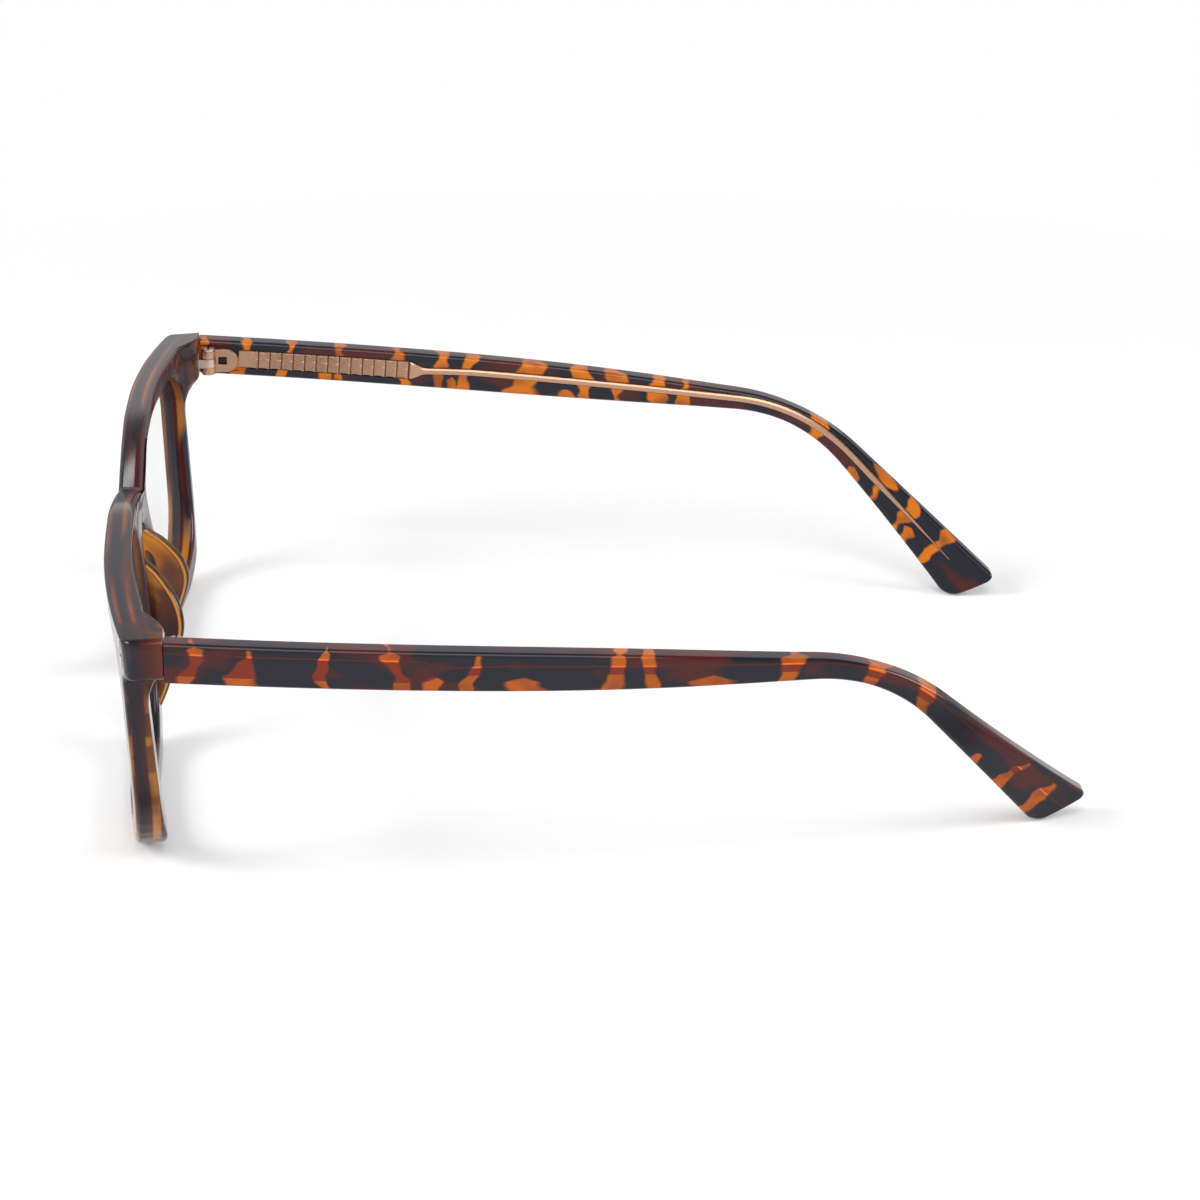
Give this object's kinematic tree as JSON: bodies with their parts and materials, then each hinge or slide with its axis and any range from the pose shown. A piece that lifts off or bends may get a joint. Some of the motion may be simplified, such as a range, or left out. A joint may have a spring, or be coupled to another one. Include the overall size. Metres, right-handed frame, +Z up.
{
  "type": "eyeglasses",
  "caption": "Square acetate eyeglasses with clear lenses, saddle nose pads, riveted end pieces and screwed hinges; the folding temples hold embossed metal core wires.",
  "frame": {"origin": "on the floor, in the middle of the plan of the opened glasses", "axes": "+X towards the wearer's left, +Y back along the temples to their tips, +Z up; the front faces -Y"},
  "size_m": [0.138, 0.1472, 0.0423],
  "materials": {
    "tortoise_acetate": "polished acetate, dark red-brown with charcoal and amber tortoise patches",
    "pad_acetate": "polished translucent amber-brown acetate",
    "lens_clear": "clear colourless lens, polished",
    "rose_gold": "rose-gold plate, satin, embossed near the hinge",
    "hinge_steel": "bare nickel silver, lightly polished"
  },
  "bodies": {
    "front": {"front_frame": "tortoise_acetate", "lens_left": "lens_clear", "lens_right": "lens_clear", "nose_pad_left": "pad_acetate", "nose_pad_right": "pad_acetate", "front_hinge_left": "hinge_steel", "front_hinge_right": "hinge_steel", "rivet_upper_left": "hinge_steel", "rivet_lower_left": "hinge_steel", "rivet_upper_right": "hinge_steel", "rivet_lower_right": "hinge_steel", "hinge_screw_left": "hinge_steel", "hinge_screw_right": "hinge_steel"},
    "left_temple": {"temple_left": "tortoise_acetate", "temple_hinge_left": "rose_gold", "core_wire_left": "rose_gold"},
    "right_temple": {"temple_right": "tortoise_acetate", "temple_hinge_right": "rose_gold", "core_wire_right": "rose_gold"}
  },
  "joints": [
    {"name": "left_temple_fold", "type": "hinge", "parent": "front", "child": "left_temple", "pos_m": [0.0642, -0.0615, 0.0365], "axis": [0, 0, 1], "range_deg": [0, 82]},
    {"name": "right_temple_fold", "type": "hinge", "parent": "front", "child": "right_temple", "pos_m": [-0.0642, -0.0615, 0.0365], "axis": [0, 0, -1], "range_deg": [0, 73]}
  ]
}
